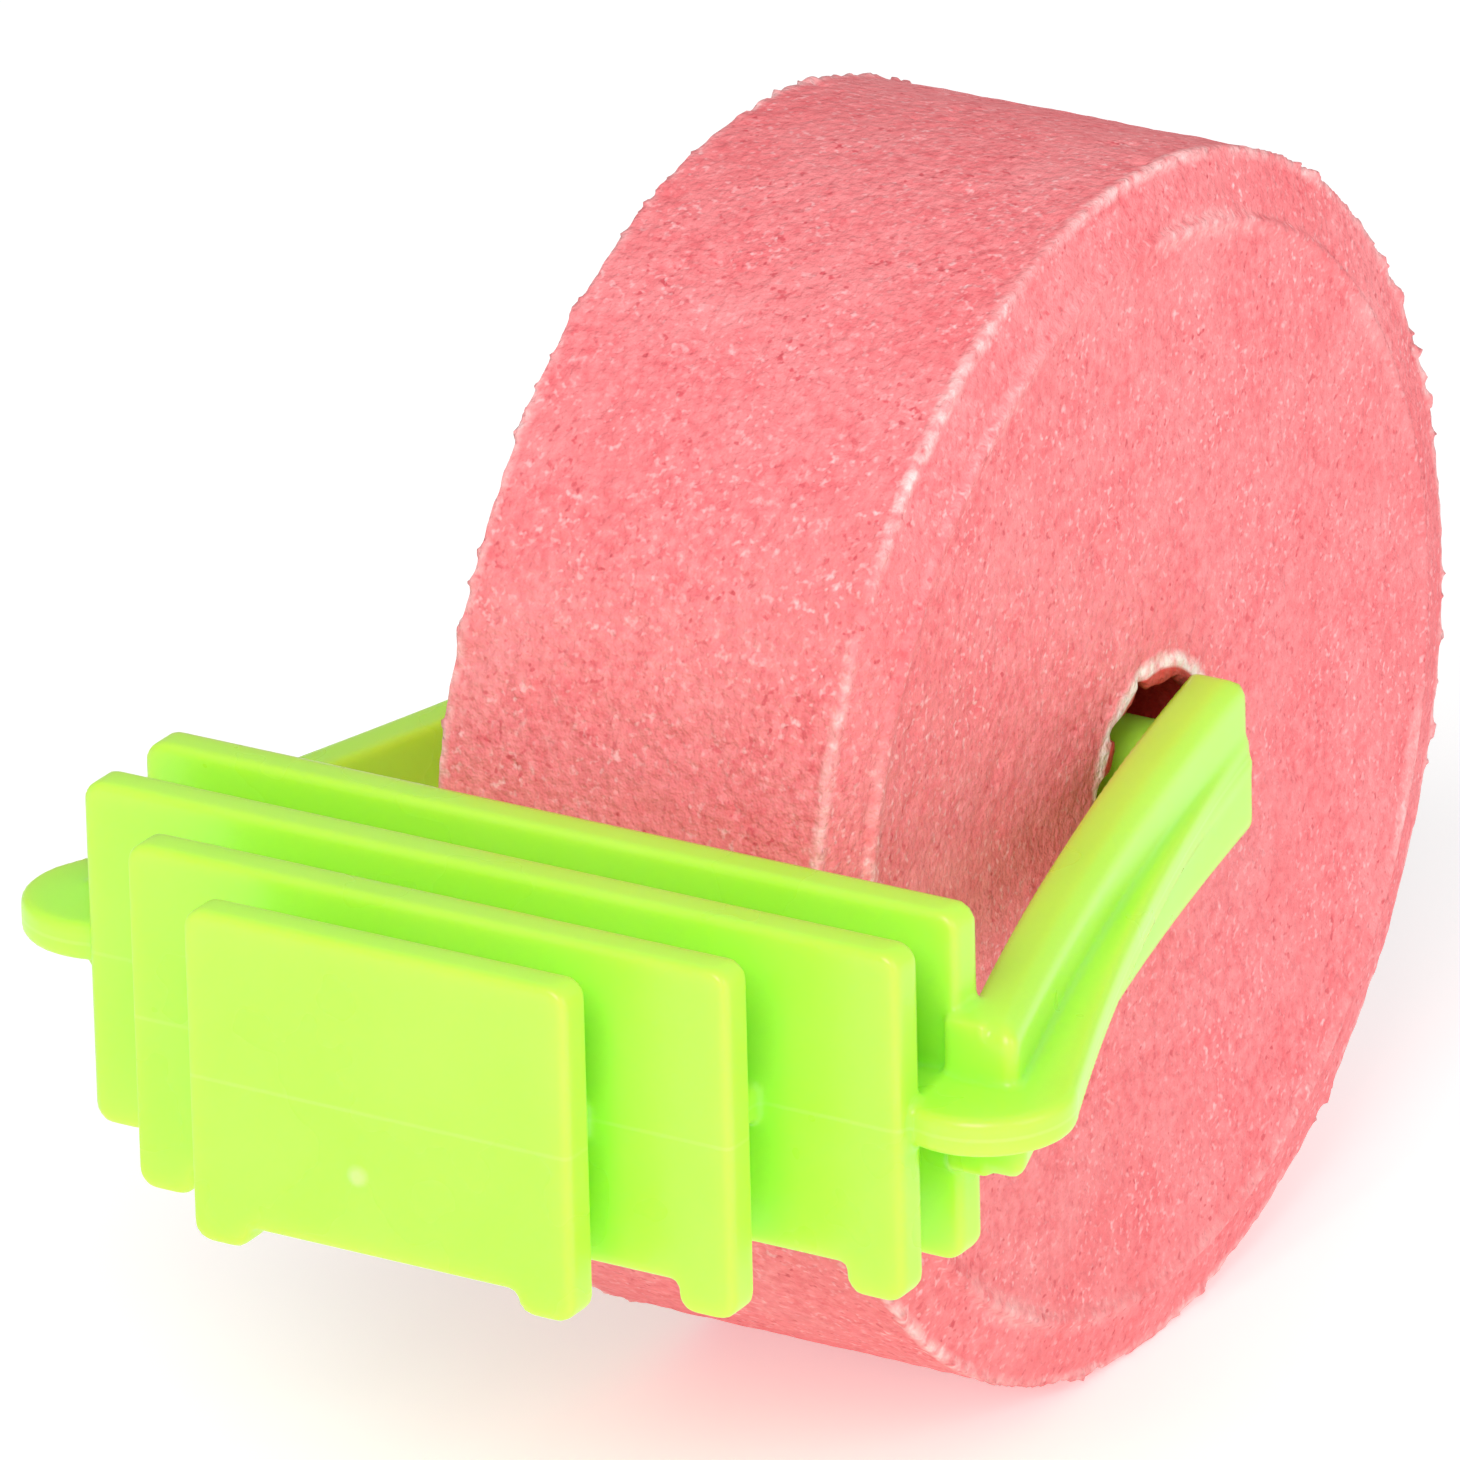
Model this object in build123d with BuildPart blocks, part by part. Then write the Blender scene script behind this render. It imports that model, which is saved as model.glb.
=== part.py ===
"""Mineral lick wheel in a spring-armed cage clip.

A pressed mineral wheel for small pets hangs on two pegs between the arms of a plastic clip.
The clip is one moulding: four upright plates in a row on a thin horizontal web, with a narrow
slot for the cage wire between each pair, and two arms that spring apart to change the wheel.
It is built here as sections that meet face to face, so that the arms can flex and every slot
stays open.

Frame, in millimetres: X across the clip and along the wheel's bore, +Y from the cage towards
the wheel, +Z up. The origin is the centre of the wire slot in front of the back plate, halfway
up the web.
"""

import os
from math import cos, radians, sin

from build123d import *

os.makedirs("parts", exist_ok=True)

# ---------------------------------------------------------------- driving dimensions (mm)
# Wheel
wheel_diameter = 55.0
wheel_thickness = 20.7
bore_diameter = 9.2
bevel_width = 3.1  # sloping ring round each face
bevel_rise = 0.9  # how far the flat of each face stands above the rim's edge
bore_lip = 0.5  # crumbled chamfer at each mouth of the bore
wheel_axis_y = 35.0  # from the origin to the bore's axis

# Plates and web
plate_thickness = 1.85
plate_corner_radius = 0.9
wire_slot = 3.0  # gap that takes the cage wire
front_slot = 2.2  # gap behind the small front plate
foot_width = 2.8  # each plate stands on two feet, one at each lower corner
foot_drop = 1.35
front_foot_drop = 1.0
notch_corner_radius = 0.5  # where the notch meets each foot
plate_height = 15.9
front_plate_height = 15.2
front_plate_width = 18.8
second_plate_width = 29.6
wide_plate_width = 40.2  # third plate and back plate
web_thickness = 1.75
web_inset = 1.5  # web edge, inside the edge of the narrower plate beside it

# Elbows, where each arm leaves the back plate
hinge_x = 21.7
hinge_y = 1.0
elbow_radius = 3.9
elbow_gap = 0.12  # clearance between an elbow and its arm
elbow_front_y = 1.0  # front of the elbow's wall, a little in front of the back plate
elbow_corner_radius = 0.8
elbow_edge_radius = 0.45
elbow_wall_length = 2.0  # wall from the back plate's edge to where the arm's wall begins

# Arms, given for the right one and mirrored: half of each wall height at the root and the tip
arm_half_height_root = 3.5
arm_half_height_tip = 3.85
arm_tip_y = 38.7
arm_tip_radius = 1.4
wall_inner = [(21.1, 0.0), (14.5, 21.3), (10.5, arm_tip_y)]  # root, middle, tip in plan
wall_outer = [(23.6, 0.0), (16.8, 21.9), (12.95, arm_tip_y)]
wall_edge_radius = 0.9  # outer edges of the wall, top and bottom
flange_middle = (17.9, 21.9)
flange_tip = (13.25, arm_tip_y)
flange_root_angle = 19.0  # degrees round the elbow, where the flange leaves it

# Pegs
peg_diameter = 4.6
peg_tip_x = 6.9  # half of the clear distance between the two pegs
peg_root_x = 11.6
peg_tip_chamfer = 0.7

# ---------------------------------------------------------------- worked-out places
back_plate_y = wire_slot / 2
third_plate_y = -wire_slot / 2 - plate_thickness
second_plate_y = third_plate_y - wire_slot - plate_thickness
front_plate_y = second_plate_y - front_slot - plate_thickness
half_wide = wide_plate_width / 2
half_web = web_thickness / 2
flange_root_radius = elbow_radius + elbow_gap
flange_root = (
    hinge_x + flange_root_radius * cos(radians(flange_root_angle)),
    hinge_y + flange_root_radius * sin(radians(flange_root_angle)),
)
flange_outer = [flange_root, flange_middle, flange_tip]
reach = 60.0  # larger than anything here, for cutting shapes


# ---------------------------------------------------------------- plates
def make_plate(width, height, front_y, drop):
    """One upright plate: rounded corners and a shallow notch between two feet."""
    with BuildPart() as plate:
        with BuildSketch(Plane.XZ.offset(-front_y)):
            RectangleRounded(width, height, plate_corner_radius)
            with Locations((0, -height / 2)):
                Rectangle(width - 2 * foot_width, 2 * drop, mode=Mode.SUBTRACT)
        extrude(amount=-plate_thickness)
        inner_corners = (
            plate.edges()
            .filter_by(Axis.Y)
            .filter_by_position(Axis.Z, -height / 2 + drop / 2, -height / 2 + 2 * drop)
        )
        fillet(inner_corners, notch_corner_radius)
    return plate


front_plate = make_plate(front_plate_width, front_plate_height, front_plate_y, front_foot_drop)
front_plate.part.label = "front_plate"
export_step(front_plate.part, "parts/front_plate.step")

second_plate = make_plate(second_plate_width, plate_height, second_plate_y, foot_drop)
second_plate.part.label = "second_plate"
export_step(second_plate.part, "parts/second_plate.step")

third_plate = make_plate(wide_plate_width, plate_height, third_plate_y, foot_drop)
third_plate.part.label = "third_plate"
export_step(third_plate.part, "parts/third_plate.step")

back_plate = make_plate(wide_plate_width, plate_height, back_plate_y, foot_drop)
back_plate.part.label = "back_plate"
export_step(back_plate.part, "parts/back_plate.step")

# ---------------------------------------------------------------- web
# One strip in each gap between plates, as wide as the narrower plate allows.
web_strips = [
    (front_plate_width - 2 * web_inset, front_plate_y + plate_thickness, second_plate_y),
    (second_plate_width - 2 * web_inset, second_plate_y + plate_thickness, third_plate_y),
    (wide_plate_width, third_plate_y + plate_thickness, back_plate_y),
]

with BuildPart() as centre_web:
    for strip_width, strip_front, strip_back in web_strips:
        with BuildSketch(Plane.XY.offset(-half_web)):
            with Locations((0, (strip_front + strip_back) / 2)):
                Rectangle(strip_width, strip_back - strip_front)
        extrude(amount=web_thickness)
centre_web.part.label = "centre_web"
export_step(centre_web.part, "parts/centre_web.step")

# ---------------------------------------------------------------- elbows and arms
def arm_plan(outer_points):
    """Plan of the arm between the wall's inner curve and an outer curve."""
    with BuildSketch() as plan:
        with BuildLine():
            inner_edge = ThreePointArc(*wall_inner)
            outer_edge = ThreePointArc(*outer_points)
            Line(inner_edge @ 0, outer_edge @ 0)
            Line(inner_edge @ 1, outer_edge @ 1)
        make_face()
    return plan.sketch


with BuildPart() as right_elbow:
    # Flange: a round tab level with the web.
    with BuildSketch(Plane.XY.offset(-half_web)):
        with Locations((hinge_x, hinge_y)):
            Circle(elbow_radius)
        with Locations((half_wide, 0)):
            Rectangle(reach, reach, align=(Align.MAX, Align.CENTER), mode=Mode.SUBTRACT)
    extrude(amount=web_thickness)
    # Wall: turns the corner from the back plate's front face into the arm.
    with BuildSketch(Plane.XY.offset(-arm_half_height_root)) as elbow_wall:
        add(arm_plan(wall_outer))
        with Locations((half_wide, elbow_front_y)):
            Rectangle(
                elbow_wall_length,
                back_plate_y + plate_thickness - elbow_front_y,
                align=(Align.MIN, Align.MIN),
            )
            Rectangle(reach, reach, align=(Align.MAX, Align.CENTER), mode=Mode.SUBTRACT)
            Rectangle(reach, reach, align=(Align.CENTER, Align.MAX), mode=Mode.SUBTRACT)
        with Locations((hinge_x, hinge_y)):
            Circle(elbow_radius, mode=Mode.INTERSECT)
        outer_corner = elbow_wall.vertices().group_by(Axis.Y)[0].sort_by(Axis.X)[-1]
        fillet(outer_corner, elbow_corner_radius)
    extrude(amount=2 * arm_half_height_root)
    top_and_bottom = (
        right_elbow.faces().filter_by(Axis.Z).group_by(Axis.Z)
    )
    for wall_end in (top_and_bottom[0], top_and_bottom[-1]):
        front_edge = wall_end.edges().filter_by(Axis.X).sort_by(Axis.Y)[0]
        fillet(front_edge, elbow_edge_radius)
right_elbow.part.label = "right_elbow"
export_step(right_elbow.part, "parts/right_elbow.step")

with BuildPart() as right_arm:
    # Wall, in plan, from the elbow to the tip.
    with BuildSketch(Plane.XY.offset(-arm_half_height_tip)):
        add(arm_plan(wall_outer))
    extrude(amount=2 * arm_half_height_tip)
    # Side outline: the wall grows taller towards the tip, which has rounded corners.
    with BuildSketch(Plane.YZ) as side_outline:
        with BuildLine():
            Polyline(
                (0, -arm_half_height_root),
                (arm_tip_y, -arm_half_height_tip),
                (arm_tip_y, arm_half_height_tip),
                (0, arm_half_height_root),
                close=True,
            )
        make_face()
        fillet(side_outline.vertices().group_by(Axis.X)[-1], arm_tip_radius)
    extrude(amount=reach, both=True, mode=Mode.INTERSECT)
    outer_face = right_arm.faces().filter_by(GeomType.CYLINDER).sort_by(Axis.X)[-1]
    fillet(outer_face.edges().sort_by(SortBy.LENGTH)[-2:], wall_edge_radius)
    # Flange: a thin outer rib level with the web, narrowing almost to nothing at the tip.
    with BuildSketch(Plane.XY.offset(-half_web)):
        add(arm_plan(flange_outer))
    extrude(amount=web_thickness)
    # Clear the elbow: everything within its radius stays with the clip.
    with Locations((hinge_x, hinge_y, 0)):
        Cylinder(elbow_radius + elbow_gap, reach, mode=Mode.SUBTRACT)
    # Peg that carries the wheel, rooted inside the wall.
    with BuildSketch(Plane.YZ.offset(peg_tip_x)):
        with Locations((wheel_axis_y, 0)):
            Circle(peg_diameter / 2)
    extrude(amount=peg_root_x - peg_tip_x)
    chamfer(right_arm.faces().sort_by(Axis.X)[0].edges(), peg_tip_chamfer)
right_arm.part.label = "right_arm"
export_step(right_arm.part, "parts/right_arm.step")

# ---------------------------------------------------------------- left side
with BuildPart() as left_elbow:
    add(mirror(right_elbow.part, about=Plane.YZ))
left_elbow.part.label = "left_elbow"
export_step(left_elbow.part, "parts/left_elbow.step")

with BuildPart() as left_arm:
    add(mirror(right_arm.part, about=Plane.YZ))
left_arm.part.label = "left_arm"
export_step(left_arm.part, "parts/left_arm.step")

# ---------------------------------------------------------------- wheel
half_thickness = wheel_thickness / 2
wheel_radius = wheel_diameter / 2
bore_radius = bore_diameter / 2

with BuildPart() as mineral_wheel:
    with BuildSketch(Plane.XY) as half_section:
        with BuildLine(Plane.XY):
            # Read as (along the axis, out from the axis).
            Polyline(
                (-half_thickness + bore_lip, bore_radius),
                (half_thickness - bore_lip, bore_radius),
                (half_thickness, bore_radius + bore_lip),
                (half_thickness, wheel_radius - bevel_width),
                (half_thickness - bevel_rise, wheel_radius),
                (-half_thickness + bevel_rise, wheel_radius),
                (-half_thickness, wheel_radius - bevel_width),
                (-half_thickness, bore_radius + bore_lip),
                close=True,
            )
        make_face()
    revolve(axis=Axis.X)
    mineral_wheel.part = mineral_wheel.part.moved(Location((0, wheel_axis_y, 0)))
mineral_wheel.part.label = "mineral_wheel"
export_step(mineral_wheel.part, "parts/mineral_wheel.step")
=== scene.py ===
"""Looks of a mineral lick wheel in its cage clip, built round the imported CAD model.

Both real pieces are sculpted as distance fields, sampled on a grid and turned into meshes:
the moulded clip with its rounded edges and filleted corners, and the pressed wheel with its
grain, pits and crumbled rims. Fields are worked out in millimetres; Blender is in metres.
"""

from math import cos, radians, sin

import bpy
import numpy as np
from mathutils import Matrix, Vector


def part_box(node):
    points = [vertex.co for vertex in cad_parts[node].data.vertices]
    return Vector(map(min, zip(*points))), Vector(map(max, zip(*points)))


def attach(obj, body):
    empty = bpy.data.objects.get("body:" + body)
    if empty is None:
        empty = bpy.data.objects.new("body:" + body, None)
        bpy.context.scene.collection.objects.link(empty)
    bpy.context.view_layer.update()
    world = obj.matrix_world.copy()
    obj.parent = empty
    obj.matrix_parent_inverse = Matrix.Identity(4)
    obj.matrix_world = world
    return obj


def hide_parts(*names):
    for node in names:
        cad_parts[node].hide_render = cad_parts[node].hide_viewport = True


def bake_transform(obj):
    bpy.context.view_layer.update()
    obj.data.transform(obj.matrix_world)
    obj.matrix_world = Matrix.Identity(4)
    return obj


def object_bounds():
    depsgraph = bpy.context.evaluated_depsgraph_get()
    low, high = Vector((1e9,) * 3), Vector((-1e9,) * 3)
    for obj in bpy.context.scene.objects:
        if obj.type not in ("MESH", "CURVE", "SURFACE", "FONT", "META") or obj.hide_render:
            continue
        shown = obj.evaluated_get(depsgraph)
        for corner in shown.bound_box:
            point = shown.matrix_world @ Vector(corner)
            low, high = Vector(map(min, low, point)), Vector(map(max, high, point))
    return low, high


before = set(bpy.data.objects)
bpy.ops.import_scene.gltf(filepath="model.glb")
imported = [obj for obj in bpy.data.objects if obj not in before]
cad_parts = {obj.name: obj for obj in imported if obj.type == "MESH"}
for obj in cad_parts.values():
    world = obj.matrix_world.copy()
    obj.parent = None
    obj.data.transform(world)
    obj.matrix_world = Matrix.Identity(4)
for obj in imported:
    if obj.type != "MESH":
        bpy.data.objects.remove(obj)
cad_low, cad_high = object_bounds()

import openvdb
from mathutils import Quaternion, Vector

MM = 0.001  # one millimetre, in metres


def box_mm(node):
    """Lowest and highest corner of a CAD node, in millimetres."""
    low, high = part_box(node)
    return np.array(low) / MM, np.array(high) / MM


# ------------------------------------------------------------------ places read from the frame
WHEEL_LOW, WHEEL_HIGH = box_mm("mineral_wheel")
WHEEL_RADIUS = (WHEEL_HIGH[2] - WHEEL_LOW[2]) / 2
WHEEL_HALF = (WHEEL_HIGH[0] - WHEEL_LOW[0]) / 2
WHEEL_Y = (WHEEL_LOW[1] + WHEEL_HIGH[1]) / 2
FRONT_Y = box_mm("front_plate")[0][1]
BACK_PLATE_LOW, BACK_PLATE_HIGH = box_mm("back_plate")
ARM_LOW, ARM_HIGH = box_mm("right_arm")
ELBOW_HIGH = box_mm("right_elbow")[1]
WEB_LOW, WEB_HIGH = box_mm("centre_web")

# ------------------------------------------------------------------ sizes of the clip, in mm
PLATES = ("front_plate", "second_plate", "third_plate", "back_plate")
PLATE_CORNER = 0.9
PLATE_EDGE = 0.3
FOOT_WIDTH = 2.8
FOOT_DROPS = (1.0, 1.35, 1.35, 1.35)  # front to back
FOOT_CORNER = 0.85
NOTCH_CORNER = 0.35
WEB_INSET = 1.5
WEB_EDGE = 0.4
OVERLAP = 0.4  # how far one section reaches into the next
FILLET = 0.5  # reach of the fillets between sections
RIB_FILLET = 0.35  # between the arm's wall and its flange
SEAM_Y = 3.6  # just behind the back plate, where the left arm's piece is cut off

# Plan of the right arm: root, middle and tip of each curve. The left one mirrors it.
ARM_TIP_Y = ARM_HIGH[1]
WALL_INNER = ((21.1, 0.0), (14.5, 21.3), (10.5, ARM_TIP_Y))
WALL_OUTER = ((23.6, 0.0), (16.8, 21.9), (12.95, ARM_TIP_Y))
ELBOW_CENTRE = (21.7, 1.0)
ELBOW_RADIUS = ELBOW_HIGH[0] - ELBOW_CENTRE[0]
ELBOW_FRONT = 1.0
ELBOW_CORNER = 0.7
FLANGE_ROOT_ANGLE = radians(19)
FLANGE_ROOT = (
    ELBOW_CENTRE[0] + ELBOW_RADIUS * cos(FLANGE_ROOT_ANGLE),
    ELBOW_CENTRE[1] + ELBOW_RADIUS * sin(FLANGE_ROOT_ANGLE),
)
FLANGE_OUTER = (FLANGE_ROOT, (17.9, 21.9), (13.0, ARM_TIP_Y))
ARM_ROOT_HALF_HEIGHT = 3.5
ARM_TIP_HALF_HEIGHT = 3.85
ARM_TIP_CORNER_TOP = 1.4
ARM_TIP_CORNER_BOTTOM = 0.5
MOULD_STEP = 0.26  # how far the lower mould half stands out from the upper one
MOULD_STEP_HEIGHT = 0.2  # over which the step grows
WALL_OUTER_EDGE = 1.0
WALL_INNER_EDGE = 0.25
PEG_RADIUS = 2.3
PEG_TIP_X = ARM_LOW[0]
PEG_TIP_ROUND = 0.7
PEG_ROOT_X = WALL_OUTER[-1][0] - 1.0  # inside the wall
GATE_MARK = (-1.0, -2.9)  # across and up from the middle of the front plate
GATE_RADIUS = 0.45
GATE_RISE = 0.12

# ------------------------------------------------------------------ sizes of the wheel, in mm
BORE_RADIUS = 4.6
BEVEL_WIDTH = 3.1
BEVEL_RISE = 0.9
RIM_EDGE = WHEEL_HALF - BEVEL_RISE  # half the rim's width
FACE_RADIUS = WHEEL_RADIUS - BEVEL_WIDTH  # of the flat of each face
FACE_ROUND = 0.3
MOUTH_ROUND = 0.4
GROOVE_OFFSET = 0.5  # from the crease of the flat out to the groove beside it
GROOVE_RADIUS = 0.28
CREASE_RADIUS = 0.16
GRAIN = ((0.10, 0.55, 1), (0.05, 1.3, 2), (0.10, 7.0, 3))  # height, cell and seed of each layer
PIT_CELL, PIT_SHARE, PIT_DEPTH = 0.8, 0.26, 0.8
CRUMB_CELL, CRUMB_SIZE = 0.5, 0.36  # along the rim's edges
TOOTH_CELL, TOOTH_SHARE, TOOTH_SIZE = 0.85, 0.68, 1.7  # round the bore's mouths
PATCH_CELL = 3.2  # of the patches with more or fewer crumbs
SKIN = 1.6  # depth of the layer that is given grain

FLOOR_GAP = 0.2  # the grain on the rim stands a little outside its true circle

# Grid steps, in mm
CLIP_STEP = 0.2
WHEEL_STEP = 0.25


# ------------------------------------------------------------------ distance fields
def slab(value, low, high):
    """Distance outside the range from low to high."""
    return np.maximum(low - value, value - high)


def rounded_corner(a, b, radius):
    """Where both a and b are inside, with the edge between them rounded."""
    inner = np.minimum(np.maximum(a, b) + radius, 0.0)
    outer = np.hypot(np.maximum(a + radius, 0.0), np.maximum(b + radius, 0.0))
    return inner + outer - radius


def filleted(a, b, reach):
    """Where a or b is inside, with a fillet between them."""
    near = np.maximum(reach - np.abs(a - b), 0.0) / reach
    return np.minimum(a, b) - near * near * reach / 4


def rectangle(u, v, half_u, half_v, radius):
    """Distance outside a rectangle with rounded corners."""
    return rounded_corner(np.abs(u) - half_u, np.abs(v) - half_v, radius)


def outside_curve(x, y, points):
    """Distance to the +X side of the arc through three points, positive on that side."""
    (ax, ay), (bx, by), (cx, cy) = points
    matrix = 2 * np.array(((bx - ax, by - ay), (cx - ax, cy - ay)))
    squares = [px * px + py * py for px, py in points]
    centre = np.linalg.solve(matrix, np.array((squares[1] - squares[0], squares[2] - squares[0])))
    radius = np.hypot(ax - centre[0], ay - centre[1])
    distance = np.hypot(x - centre[0], y - centre[1]) - radius
    return -distance if centre[0] > bx else distance


def lattice_noise(points, cell, seed):
    """Smooth random values from 0 to 1 at points, about one bump in each cell."""
    size = 32
    table = np.random.default_rng(seed).random((size, size, size)).astype(np.float32)
    scaled = points / cell + seed * 7.31
    base = np.floor(scaled)
    part = (scaled - base).astype(np.float32)
    part = part * part * (3 - 2 * part)
    base = base.astype(np.int64)
    total = np.zeros(len(points), np.float32)
    for corner in np.ndindex(2, 2, 2):
        index = (base + corner) % size
        weight = np.prod(np.where(corner, part, 1 - part), axis=1)
        total += weight * table[index[:, 0], index[:, 1], index[:, 2]]
    return total


# ------------------------------------------------------------------ the clip's field
def plate_field(node, foot_drop, x, y, z):
    """One upright plate on two feet, with rounded corners and edges."""
    low, high = box_mm(node)
    half_width, half_height = high[0], high[2]
    outline = rectangle(x, z, half_width, half_height, PLATE_CORNER)
    notch = rectangle(x, z + half_height, half_width - FOOT_WIDTH, foot_drop, NOTCH_CORNER)
    outline = rounded_corner(outline, -notch, FOOT_CORNER)
    return rounded_corner(outline, slab(y, low[1], high[1]), PLATE_EDGE)


def web_field(x, y, z):
    """The thin strips between plates, each a little narrower than the plate in front of it."""
    level = slab(z, WEB_LOW[2], WEB_HIGH[2])
    strips = []
    for front, back in zip(PLATES, PLATES[1:]):
        front_high = box_mm(front)[1]
        back_low = box_mm(back)[0]
        inset = 0.0 if back == "back_plate" else WEB_INSET
        across = np.abs(x) - (front_high[0] - inset)
        along = slab(y, front_high[1] - OVERLAP, back_low[1] + OVERLAP)
        strips.append(np.maximum(rounded_corner(across, level, WEB_EDGE), along))
    return np.minimum.reduce(strips)


def wall_field(side, y, z):
    """The arm's upright wall, and its foot in the corner beside the back plate."""
    inner = -outside_curve(side, y, WALL_INNER)
    step = MOULD_STEP * np.clip(0.5 - z / MOULD_STEP_HEIGHT, 0, 1)
    outer = outside_curve(side, y, WALL_OUTER) - step
    outer = rounded_corner(outer, ELBOW_FRONT - y, ELBOW_CORNER)
    slope = (ARM_TIP_HALF_HEIGHT - ARM_ROOT_HALF_HEIGHT) / ARM_TIP_Y
    top = np.abs(z) - ARM_ROOT_HALF_HEIGHT - slope * y
    tip_corner = np.where(z > 0, ARM_TIP_CORNER_TOP, ARM_TIP_CORNER_BOTTOM)
    end = rounded_corner(top, y - ARM_TIP_Y, tip_corner)
    wall = np.maximum(
        rounded_corner(outer, top, WALL_OUTER_EDGE),
        rounded_corner(inner, top, WALL_INNER_EDGE),
    )
    wall = np.maximum(wall, rounded_corner(np.maximum(inner, outer), end, WALL_INNER_EDGE))
    foot = np.maximum(
        slab(side, BACK_PLATE_HIGH[0] - OVERLAP, ELBOW_CENTRE[0]),
        slab(y, ELBOW_FRONT, BACK_PLATE_HIGH[1]),
    )
    return np.minimum(wall, rounded_corner(foot, top, WALL_INNER_EDGE))


def flange_field(side, y, z):
    """A round tab at the elbow, level with the web, and a rib that narrows towards the tip."""
    rib = np.maximum(outside_curve(side, y, FLANGE_OUTER), -outside_curve(side, y, WALL_INNER))
    rib = np.maximum(rib, slab(y, FLANGE_ROOT[1], ARM_TIP_Y))
    tab = np.hypot(side - ELBOW_CENTRE[0], y - ELBOW_CENTRE[1]) - ELBOW_RADIUS
    tab = np.maximum(tab, BACK_PLATE_HIGH[0] - OVERLAP - side)
    return rounded_corner(np.minimum(rib, tab), slab(z, WEB_LOW[2], WEB_HIGH[2]), WEB_EDGE)


def peg_field(side, y, z):
    """The peg that the wheel hangs on."""
    peg = rounded_corner(
        np.hypot(y - WHEEL_Y, z) - PEG_RADIUS, PEG_TIP_X - side, PEG_TIP_ROUND
    )
    return np.maximum(peg, side - PEG_ROOT_X)


def gate_mark_field(x, y, z):
    """A low round pip on the front plate's face."""
    pip = np.hypot(x - GATE_MARK[0], z - GATE_MARK[1]) - GATE_RADIUS
    return rounded_corner(pip, slab(y, FRONT_Y - GATE_RISE, FRONT_Y + PLATE_EDGE), GATE_RISE)


def clip_field(x, y, z):
    """The whole moulding, with both arms."""
    plates = np.minimum.reduce(
        [plate_field(node, foot_drop, x, y, z) for node, foot_drop in zip(PLATES, FOOT_DROPS)]
    )
    plates = filleted(plates, gate_mark_field(x, y, z), GATE_RISE)
    side = np.abs(x)
    arms = filleted(wall_field(side, y, z), flange_field(side, y, z), RIB_FILLET)
    arms = filleted(arms, peg_field(side, y, z), FILLET)
    return filleted(filleted(plates, web_field(x, y, z), FILLET), arms, FILLET)


# ------------------------------------------------------------------ the wheel's field
def wheel_field(x, y, z):
    """The pressed wheel: grain and pits all over, crumbled rims and bore mouths."""
    side, radius = np.abs(x), np.hypot(y - WHEEL_Y, z)
    bevel = (side - RIM_EDGE) * BEVEL_WIDTH + (radius - WHEEL_RADIUS) * BEVEL_RISE
    field = np.maximum(radius - WHEEL_RADIUS, bevel / np.hypot(BEVEL_WIDTH, BEVEL_RISE))
    field = rounded_corner(field, side - WHEEL_HALF, FACE_ROUND)
    field = rounded_corner(field, BORE_RADIUS - radius, MOUTH_ROUND)
    skin = np.abs(field) < SKIN
    points = np.stack(np.broadcast_arrays(x, y, z), axis=-1)[skin]
    field[skin] = worn_surface(field[skin], points)
    return field


def worn_surface(surface, points):
    """The wheel's field near its surface, with all its relief."""
    side, radius = np.abs(points[:, 0]), np.hypot(points[:, 1] - WHEEL_Y, points[:, 2])
    for height, cell, seed in GRAIN:
        surface = surface - height * (lattice_noise(points, cell, seed) - 0.5)
    pits = np.maximum(lattice_noise(points, PIT_CELL, 4) - (1 - PIT_SHARE), 0.0)
    surface = surface + PIT_DEPTH * pits
    # Crumbs pressed out along the edge of each face, in patches.
    crumbs = lattice_noise(points, CRUMB_CELL, 5) ** 1.5
    patches = lattice_noise(points, PATCH_CELL, 6)
    edge = np.hypot(side - RIM_EDGE, radius - WHEEL_RADIUS + 0.08)
    surface = filleted(surface, edge - CRUMB_SIZE * crumbs * (0.35 + 0.9 * patches), 0.2)
    # A low crease where the slope meets the flat of the face, and a groove outside it.
    crease = np.hypot(side - WHEEL_HALF + 0.1, radius - FACE_RADIUS)
    surface = filleted(surface, crease - CREASE_RADIUS * (1 + patches), 0.5)
    groove = np.hypot(side - WHEEL_HALF, radius - FACE_RADIUS - GROOVE_OFFSET)
    surface = np.maximum(surface, GROOVE_RADIUS * (0.6 + 0.6 * patches) - groove)
    # Larger, broken teeth round the mouths of the bore.
    mouth = np.hypot(side - WHEEL_HALF + 0.1, radius - BORE_RADIUS - 0.2)
    teeth = np.maximum(lattice_noise(points, TOOTH_CELL, 7) - (1 - TOOTH_SHARE), 0.0)
    burr = mouth - 0.05 - TOOTH_SIZE * teeth * (0.55 + 0.6 * patches)
    burr = np.maximum(burr, side - WHEEL_HALF - 0.12)
    return filleted(surface, burr, 0.12)


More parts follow.
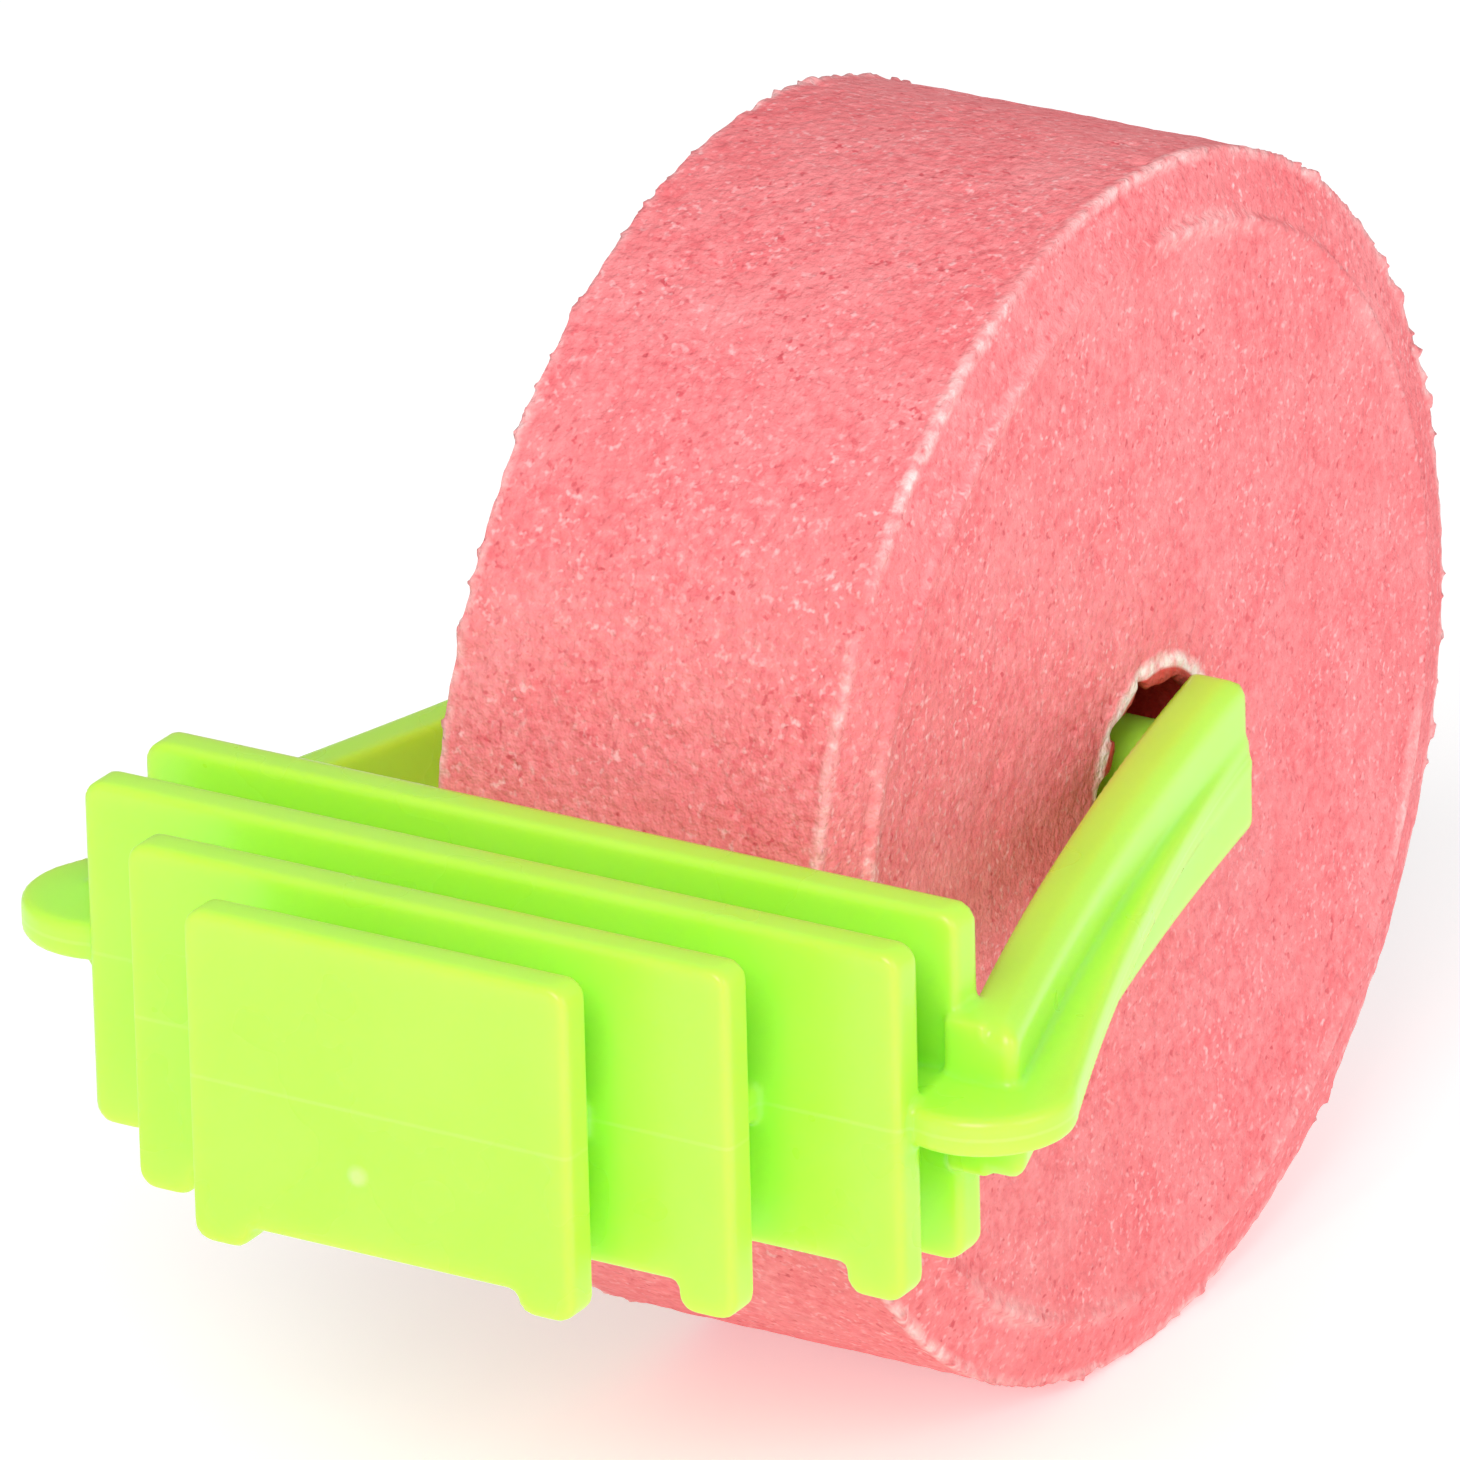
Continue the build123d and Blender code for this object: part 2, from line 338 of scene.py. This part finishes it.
# ------------------------------------------------------------------ from field to mesh
class Grid:
    """A field sampled inside a box, in millimetres, that meshes can be cut from."""

    def __init__(self, field, low, high, step):
        self.low, self.step = np.array(low) - 4 * step, step
        counts = np.ceil((np.array(high) - self.low) / step).astype(int) + 5
        x, y, z = (
            self.low[i] + step * np.arange(counts[i], dtype=np.float32) for i in range(3)
        )
        self.x, self.y, self.z = x[:, None, None], y[None, :, None], z[None, None, :]
        values = field(self.x, self.y, self.z)
        self.values = np.clip(values, -3 * step, 3 * step).astype(np.float32)

    def mesh(self, name, keep=None):
        """A piece with the field's surface, where keep is negative, and exact normals."""
        values = self.values if keep is None else np.maximum(self.values, keep)
        grid = openvdb.FloatGrid(3 * self.step)
        grid.copyFromArray(np.ascontiguousarray(values, dtype=np.float32))
        points, triangles, quads = grid.convertToPolygons(0.0, 0.0)
        normals = gradient_at(self.values, points)
        faces = quads.tolist() + triangles.tolist()
        if faces_point_inwards(points, quads, normals):
            faces = [face[::-1] for face in faces]
        mesh = bpy.data.meshes.new(name)
        mesh.from_pydata(((self.low + points * self.step) * MM).tolist(), [], faces)
        mesh.update()
        mesh.shade_smooth()
        piece = bpy.data.objects.new(name, mesh)
        bpy.context.scene.collection.objects.link(piece)
        mesh.normals_split_custom_set_from_vertices(normals.tolist())
        return piece


def gradient_at(values, points):
    """Outward directions of the field at points given in grid steps."""
    base = np.floor(points).astype(int)
    part = points - base
    result = np.zeros((len(points), 3))
    for corner in np.ndindex(2, 2, 2):
        weight = np.prod(np.where(corner, part, 1 - part), axis=1)
        i, j, k = (base + corner).T
        slope = np.stack(
            (
                values[i + 1, j, k] - values[i - 1, j, k],
                values[i, j + 1, k] - values[i, j - 1, k],
                values[i, j, k + 1] - values[i, j, k - 1],
            ),
            axis=1,
        )
        result += weight[:, None] * slope
    length = np.linalg.norm(result, axis=1)
    result[length == 0] = (0, 1, 0)  # deep inside, where only a cut through the solid reaches
    return result / np.where(length == 0, 1, length)[:, None]


def faces_point_inwards(points, quads, normals):
    """Whether most faces turn their backs to the outward normals."""
    a, b, c = (points[quads[:, i]] for i in range(3))
    facing = np.cross(b - a, c - a)
    return (facing * normals[quads[:, 0]]).sum() < 0


# ------------------------------------------------------------------ camera
def add_facing(name, data, location, direction, roll=0.0):
    """A camera or a light, looking back along the direction it stands in."""
    item = bpy.data.objects.new(name, data)
    item.rotation_mode = "QUATERNION"
    item.location = location
    item.rotation_quaternion = (-direction).to_track_quat("-Z", "Y") @ Quaternion((0, 0, 1), roll)
    bpy.context.scene.collection.objects.link(item)
    return item


def make_camera():
    """A long lens, a little above the object and off its right-hand front corner."""
    azimuth, elevation, roll = radians(31.6), radians(22.8), radians(-1.4)
    distance = 0.775
    aim = Vector((-0.0082, WHEEL_Y * MM - 0.0050, 0.0002))
    back = Vector((sin(azimuth) * cos(elevation), -cos(azimuth) * cos(elevation), sin(elevation)))
    data = bpy.data.cameras.new("camera")
    data.sensor_width = 36.0
    data.lens = 436.0
    data.clip_start, data.clip_end = 0.05, 20.0
    bpy.context.scene.camera = add_facing("camera", data, aim + back * distance, back, roll)


make_camera()


# ------------------------------------------------------------------ materials
class Shading:
    """A new material, with short ways to add the nodes that colour it."""

    def __init__(self, name):
        self.material = bpy.data.materials.new(name)
        self.material.use_nodes = True
        self.tree = self.material.node_tree
        self.inputs = self.tree.nodes["Principled BSDF"].inputs
        self.place = self.add("ShaderNodeTexCoord").outputs["Object"]
        split = self.add("ShaderNodeSeparateXYZ")
        self.link(self.place, split.inputs["Vector"])
        self.x, self.y, self.z = split.outputs

    def add(self, kind, **settings):
        """A node with these properties or, for names it has no property of, socket values."""
        node = self.tree.nodes.new(kind)
        for key, value in settings.items():
            if hasattr(node, key):
                setattr(node, key, value)
            else:
                node.inputs[key.replace("_", " ").title()].default_value = value
        return node

    def link(self, output, socket):
        self.tree.links.new(output, socket)

    def math(self, operation, *values):
        """The result of one operation on outputs and plain numbers."""
        node = self.add("ShaderNodeMath", operation=operation)
        for socket, value in zip(node.inputs, values):
            if isinstance(value, float):
                socket.default_value = value
            else:
                self.link(value, socket)
        return node.outputs["Value"]

    def spread(self, value, low, high, to_low=0.0, to_high=1.0):
        """The value's range from low to high, spread over another range and held inside it."""
        node = self.add(
            "ShaderNodeMapRange", from_min=low, from_max=high, to_min=to_low, to_max=to_high
        )
        self.link(value, node.inputs["Value"])
        return node.outputs["Result"]

    def noise(self, scale, detail, roughness=0.5):
        """Clouded values from 0 to 1, fixed to the object."""
        node = self.add("ShaderNodeTexNoise", scale=scale, detail=detail, roughness=roughness)
        self.link(self.place, node.inputs["Vector"])
        return node.outputs["Fac"]

    def tint(self, base, amount, colour):
        """The base colour, turned towards another one by an amount from 0 to 1."""
        mix = self.add("ShaderNodeMix", data_type="RGBA")
        amount_socket, base_socket, colour_socket = mix.inputs[0], mix.inputs[6], mix.inputs[7]
        self.link(amount, amount_socket)
        if isinstance(base, tuple):
            base_socket.default_value = base
        else:
            self.link(base, base_socket)
        colour_socket.default_value = colour
        return mix.outputs[2]

    def bump(self, height, strength, distance):
        node = self.add("ShaderNodeBump", strength=strength, distance=distance)
        self.link(height, node.inputs["Height"])
        self.link(node.outputs["Normal"], self.inputs["Normal"])

    def set(self, **values):
        """Plain numbers for the shader's own sockets."""
        for key, value in values.items():
            self.inputs[key.replace("_", " ")].default_value = value


def green_plastic():
    shading = Shading("green_plastic")
    cloud = shading.noise(120.0, 3.0)
    colour = shading.tint(
        (0.465, 0.91, 0.064, 1), shading.spread(cloud, 0.3, 0.7), (0.495, 0.94, 0.084, 1)
    )
    # Parting line of the two mould halves, level with the web.
    height = shading.math("ABSOLUTE", shading.z)
    line = shading.spread(height, 0.04 * MM, 0.12 * MM, 0.16, 0.0)
    colour = shading.tint(colour, line, (0.70, 0.97, 0.35, 1))
    # The paler gate mark on the front plate.
    gate = shading.add("ShaderNodeVectorMath", operation="DISTANCE")
    shading.link(shading.place, gate.inputs[0])
    gate.inputs[1].default_value = (GATE_MARK[0] * MM, FRONT_Y * MM, GATE_MARK[1] * MM)
    mark = shading.spread(
        gate.outputs["Value"], GATE_RADIUS * 0.5 * MM, GATE_RADIUS * 1.3 * MM, 0.38, 0.0
    )
    colour = shading.tint(colour, mark, (0.72, 0.97, 0.50, 1))
    shading.link(colour, shading.inputs["Base Color"])
    shading.link(shading.spread(cloud, 0.3, 0.7, 0.24, 0.36), shading.inputs["Roughness"])
    # Faint moulding texture and the raised parting line.
    texture = shading.math("MULTIPLY_ADD", shading.noise(350.0, 1.0), 0.1, line)
    shading.bump(texture, 0.35, 0.08 * MM)
    # Light soaks through the thin walls.
    shading.set(Subsurface_Weight=0.75, Subsurface_Radius=(1.0, 1.0, 0.1),
                Subsurface_Scale=2.6 * MM, IOR=1.49)
    return shading.material


def pressed_mineral():
    shading = Shading("pressed_mineral")

    def speckle(scale, detail, low, high, to_low=0.0, to_high=1.0, roughness=0.5):
        return shading.spread(shading.noise(scale, detail, roughness), low, high, to_low, to_high)

    def both(first, second):
        return shading.math("MULTIPLY", first, second)

    grains = speckle(1700.0, 2.0, 0.30, 0.68, roughness=0.6)
    colour = shading.tint((0.82, 0.148, 0.168, 1), grains, (0.97, 0.27, 0.285, 1))
    pale_patches = speckle(190.0, 3.0, 0.4, 0.7, 0.0, 0.45)
    colour = shading.tint(colour, pale_patches, (0.92, 0.33, 0.34, 1))
    red_patches = speckle(90.0, 3.0, 0.45, 0.7, 0.0, 0.45)
    colour = shading.tint(colour, red_patches, (0.84, 0.15, 0.165, 1))
    # Darker pits and pale crystals, each in loose clusters.
    pits = both(speckle(2500.0, 1.0, 0.38, 0.27), speckle(300.0, 2.0, 0.3, 0.65))
    colour = shading.tint(colour, pits, (0.68, 0.092, 0.112, 1))
    crystals = both(speckle(3000.0, 1.0, 0.57, 0.78), speckle(340.0, 2.0, 0.3, 0.66))
    colour = shading.tint(colour, crystals, (1.0, 0.52, 0.53, 1))
    # Whitish crumbs along the face edges and round the bore's mouths, and a painted highlight: a
    # pale line along the crease of each face.
    broken = speckle(1500.0, 2.0, 0.30, 0.62, 0.1, 1.0)
    worn = both(broken, speckle(130.0, 2.0, 0.34, 0.66, 0.12, 0.85))
    crease_painted_highlight = both(broken, speckle(110.0, 2.0, 0.45, 0.65, 0.0, 0.6))
    flaked = speckle(1500.0, 2.0, 0.30, 0.55, 0.3, 1.0)
    off_axis = axis_distance(shading)
    pale, chalky = (1.0, 0.70, 0.68, 1), (0.97, 0.79, 0.74, 1)
    for side, radius, reach, fade, amount, crumb_and_highlight in (
        (RIM_EDGE, WHEEL_RADIUS - 0.1, 0.1, 0.5, worn, pale),
        # The crease ring: a painted highlight, not crumbs.
        (WHEEL_HALF, FACE_RADIUS, 0.0, 0.9, crease_painted_highlight, pale),
        (WHEEL_HALF, BORE_RADIUS + 0.1, 0.45, 0.85, flaked, chalky),
    ):
        distance = ring_distance(shading, off_axis, side, radius)
        near = shading.spread(distance, reach * MM, fade * MM, 1.0, 0.0)
        colour = shading.tint(colour, both(near, amount), crumb_and_highlight)
    # Painted shade: the bore's wall is turned a darker, deeper red.
    bore_painted_shade = shading.spread(
        off_axis, (BORE_RADIUS + 0.05) * MM, (BORE_RADIUS + 0.2) * MM, 0.9, 0.0
    )
    colour = shading.tint(colour, bore_painted_shade, (0.66, 0.020, 0.006, 1))
    shading.link(colour, shading.inputs["Base Color"])
    # Grain too fine for the mesh.
    shading.bump(shading.noise(2300.0, 2.0, roughness=0.6), 1.0, 0.2 * MM)
    shading.set(Roughness=0.75, Specular_IOR_Level=0.35)
    return shading.material


def axis_distance(shading):
    """Distance from the wheel's axis, in metres."""
    y = shading.math("SUBTRACT", shading.y, float(WHEEL_Y * MM))
    z_squared = shading.math("MULTIPLY", shading.z, shading.z)
    return shading.math("SQRT", shading.math("MULTIPLY_ADD", y, y, z_squared))


def ring_distance(shading, off_axis, side, radius):
    """Distance from the two circles of this radius, this far to either side, in metres."""
    off = shading.math("SUBTRACT", off_axis, float(radius * MM))
    along = shading.math("SUBTRACT", shading.math("ABSOLUTE", shading.x), float(side * MM))
    off_squared = shading.math("MULTIPLY", off, off)
    return shading.math("SQRT", shading.math("MULTIPLY_ADD", along, along, off_squared))


def pale_floor():
    material = bpy.data.materials.new("pale_floor")
    material.use_nodes = True
    inputs = material.node_tree.nodes["Principled BSDF"].inputs
    inputs["Base Color"].default_value = (0.93, 0.93, 0.93, 1)
    inputs["Emission Color"].default_value = (1, 1, 1, 1)
    inputs["Emission Strength"].default_value = 0.33
    inputs["Roughness"].default_value = 0.9
    return material


# ------------------------------------------------------------------ pieces
def make_wheel():
    grid = Grid(wheel_field, WHEEL_LOW, WHEEL_HIGH, WHEEL_STEP)
    wheel = grid.mesh("pressed_wheel")
    wheel.data.materials.append(pressed_mineral())
    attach(wheel, "wheel")
    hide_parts("mineral_wheel")


def make_clip():
    """The moulding as two pieces: the left arm is cut off behind the back plate."""
    low = np.array((-ELBOW_HIGH[0], FRONT_Y - GATE_RISE, BACK_PLATE_LOW[2]))
    high = np.array((ELBOW_HIGH[0], ARM_TIP_Y, BACK_PLATE_HIGH[2]))
    grid = Grid(clip_field, low, high, CLIP_STEP)
    on_left = grid.x < 0
    body = grid.mesh("clip_and_right_arm", np.where(on_left, grid.y - SEAM_Y, -1.0) + 0 * grid.z)
    arm = grid.mesh("left_arm_shell", np.where(on_left, SEAM_Y - grid.y, 1.0) + 0 * grid.z)
    plastic = green_plastic()
    for piece, side in ((body, "right_arm"), (arm, "left_arm")):
        piece.data.materials.append(plastic)
        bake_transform(piece)
    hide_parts(*PLATES, "centre_web", "left_elbow", "right_elbow", "right_arm")
    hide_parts("left_arm")


make_clip()
make_wheel()


# ------------------------------------------------------------------ floor and light
def make_floor():
    bpy.ops.mesh.primitive_plane_add(size=6.0, location=(0, 0, cad_low[2] - FLOOR_GAP * MM))
    floor = bpy.context.object
    floor.name = "floor"
    floor.data.materials.append(pale_floor())


def soft_light(name, offset, size, power):
    """A square soft light, aimed at the middle of the object."""
    data = bpy.data.lights.new(name, "AREA")
    data.size, data.energy = size, power
    offset = Vector(offset)
    add_facing(name, data, (cad_low + cad_high) / 2 + offset, offset)


def make_light():
    world = bpy.data.worlds.new("studio")
    world.use_nodes = True
    background = world.node_tree.nodes["Background"].inputs
    background["Color"].default_value = (1, 1, 1, 1)
    background["Strength"].default_value = 0.49
    bpy.context.scene.world = world
    bpy.context.scene.view_settings.view_transform = "Standard"
    soft_light("key", (0.72, -0.05, 0.34), 0.45, 1.7)
    soft_light("front", (0.17, -0.58, 0.48), 0.4, 3.65)


make_floor()
make_light()
